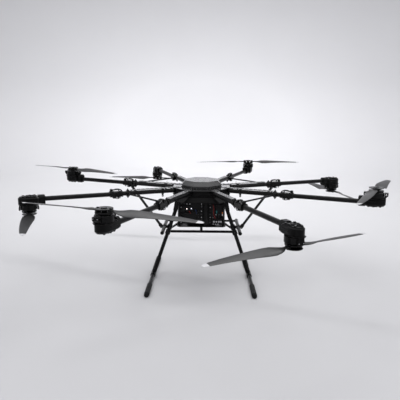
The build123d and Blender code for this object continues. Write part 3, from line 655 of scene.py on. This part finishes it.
def status_lamps():
    """The two lit indicators on the front modules."""
    lens = [(2.2, 0), (2.2, 1.6), (1.7, 2.6), (0.6, 3.0)]
    lamps = (("white_lamp", -74, -99, 95, WHITE_LAMP), ("blue_lamp", -51, -97, 96, BLUE_LAMP))
    for name, x, y, z, skin in lamps:
        mesh = bmesh.new()
        lathe(mesh, shift(x, y, z) @ FORWARD, lens, sides=20)
        finished(name, mesh, skin)


def harness():
    """Fixed wiring between the modules."""
    long_run = [(-54, -98, 84), (-40, -104, 80), (-16, -104, 82), (8, -98, 96), (14, -88, 112)]
    runs = {
        "red": (RED_SKIN, [(60, -103, 118), (64, -106, 104), (64, -106, 70), (72, -104, 46)]),
        "black_a": (BLACK_WIRE_SKIN, [(56, -103, 116), (58, -107, 98), (58, -106, 66), (66, -104, 44)]),
        "black_b": (BLACK_WIRE_SKIN, long_run),
        "blue": (BLUE_SKIN, [(-30, -98, 92), (-26, -103, 84), (-24, -102, 72)]),
        "red_b": (RED_SKIN, [(-62, -100, 84), (-58, -104, 79), (-56, -102, 72)]),
        "black_c": (BLACK_WIRE_SKIN, [(90, -99, 70), (88, -104, 58), (86, -104, 44)]),
    }
    for name, (skin, points) in runs.items():
        wire(f"harness_{name}", points, 2.2, skin)


# ---- small pieces: landing gear ----------------------------------------------------------------
def gear_bolts():
    """Dark bolts on the front and back of the leg knees, leg clamps and tees."""
    mesh = bmesh.new()
    bolts = ((179.6, 14, -53), (170.2, 13.5, -26), (256, 13, -262), (245, 13, -232))
    for side in (-1, 1):
        for x, out, z in bolts:
            for turn in (0, 180):
                place = shift(side * x, 0, z) @ tip_over(turn, "Z") @ FORWARD @ shift(0, 0, out - 0.4)
                screw(mesh, place, 3.4, 3.0)
    finished("gear_bolts", mesh, DARK_METAL_SKIN)


hub_screws()
cover_gasket()
arm_hooks()
for number in ARMS:
    pod_screws(number)
    windings(number)
    hub_washer(number)
    ear_screws(number)
    for letter in "ab":
        smooth_blade(number, letter)
board_parts()
connectors()
status_lamps()
harness()
gear_bolts()


# ---- stage -------------------------------------------------------------------------------------
PAINTED_LIGHT_CENTRE = (0.0, 5.4, 0.8)      # middle of the painted pool of light behind the aircraft, heights stretched by 1.8


def backdrop():
    """A pale floor that curves up into a wall all round, far outside the aircraft, with a painted pool of
    light behind the aircraft and painted shade away from it.
    """
    flat, bend, wall = 4.6, 1.6, 4.0
    profile = [(0.0, 0.0), (flat / 2, 0.0)]
    steps = 12
    for index in range(steps + 1):
        turn = math.radians(90) * index / steps
        profile.append((flat + bend * math.sin(turn), bend * (1 - math.cos(turn))))
    profile.append((flat + bend, bend + wall))
    mesh = bmesh.new()
    ring_count = 96
    rings = []
    for radius, height in profile[1:]:
        ring = []
        for index in range(ring_count):
            turn = 2 * math.pi * index / ring_count
            x, y = radius * math.cos(turn), radius * math.sin(turn)
            ring.append(mesh.verts.new((x, y, FLOOR_Z + height)))
        rings.append(ring)
    mesh.faces.new(rings[0])
    for inner, outer in zip(rings, rings[1:]):
        for index in range(ring_count):
            follow = (index + 1) % ring_count
            mesh.faces.new((inner[index], outer[index], outer[follow], inner[follow]))
    for face in mesh.faces:
        face.smooth = True
    data = bpy.data.meshes.new("backdrop")
    mesh.to_mesh(data)
    made = bpy.data.objects.new("backdrop", data)
    bpy.context.scene.collection.objects.link(made)
    paint = Paint("backdrop_skin")
    stretched = paint.vector_maths("MULTIPLY", paint.place, (1.0, 1.0, 1.8))
    away = paint.vector_maths("DISTANCE", stretched, PAINTED_LIGHT_CENTRE)
    mottle = paint.stretch(paint.noise(1.5), -0.03, 0.03)
    # painted light and shade: the colour is bright round a point behind the aircraft and darker further
    # from it
    painted_light_falloff = paint.maths("ADD", paint.between(away, 1.6, 5.6), mottle)
    bright, dim = colour(0.955, 0.955, 0.965), colour(0.475, 0.475, 0.485)
    paint.set(Base_Color=paint.blend(painted_light_falloff, bright, dim), Roughness=0.9)
    data.materials.append(paint.material)


def soft_light(name, place, target, size, power):
    """A rectangular light aimed at a point. Size is in metres, power in watts."""
    data = bpy.data.lights.new(name, "AREA")
    data.shape = "RECTANGLE"
    data.size, data.size_y = size
    data.energy = power
    made = bpy.data.objects.new(name, data)
    made.location = place
    made.rotation_euler = (Vector(target) - Vector(place)).to_track_quat("-Z", "Y").to_euler()
    bpy.context.scene.collection.objects.link(made)
    return made


def studio():
    """Pale ambient light, a wide light and a narrow strip overhead, and two small side lights."""
    world = bpy.data.worlds.new("studio")
    bpy.context.scene.world = world
    world.use_nodes = True
    background = world.node_tree.nodes["Background"]
    background.inputs["Color"].default_value = (0.975, 0.975, 1.0, 1.0)
    background.inputs["Strength"].default_value = 1.55
    soft_light("overhead", (0, 0.2, 3.2), (0, 0, 0), (2.6, 2.0), 10)
    soft_light("key_strip", (0.2, 1.0, 2.6), (0, 0, 0), (2.4, 0.18), 26)
    soft_light("left_bank", (-2.6, -1.6, 2.0), (0, 0, 0), (0.4, 0.4), 11)
    soft_light("right_bank", (2.6, -1.8, 2.2), (0, 0, 0), (0.4, 0.4), 18)
    bpy.context.scene.view_settings.view_transform = "Standard"


def photo_camera():
    """The photograph's viewpoint, worked out from where the eight motors appear in it."""
    data = bpy.data.cameras.new("photo_camera")
    data.sensor_width = 36.0
    data.lens = 36.83
    data.clip_end = 60
    made = bpy.data.objects.new("photo_camera", data)
    bpy.context.scene.collection.objects.link(made)
    round_hub = Matrix.Rotation(math.radians(0.683), 4, "Z")
    place = Matrix.Translation((-0.0080, -2.140, 0.560))
    pitch = Matrix.Rotation(math.radians(90 - 11.583), 4, "X")
    roll = Matrix.Rotation(math.radians(0.332), 4, "Z")
    made.matrix_world = round_hub @ place @ pitch @ roll
    bpy.context.scene.camera = made


backdrop()
studio()
photo_camera()
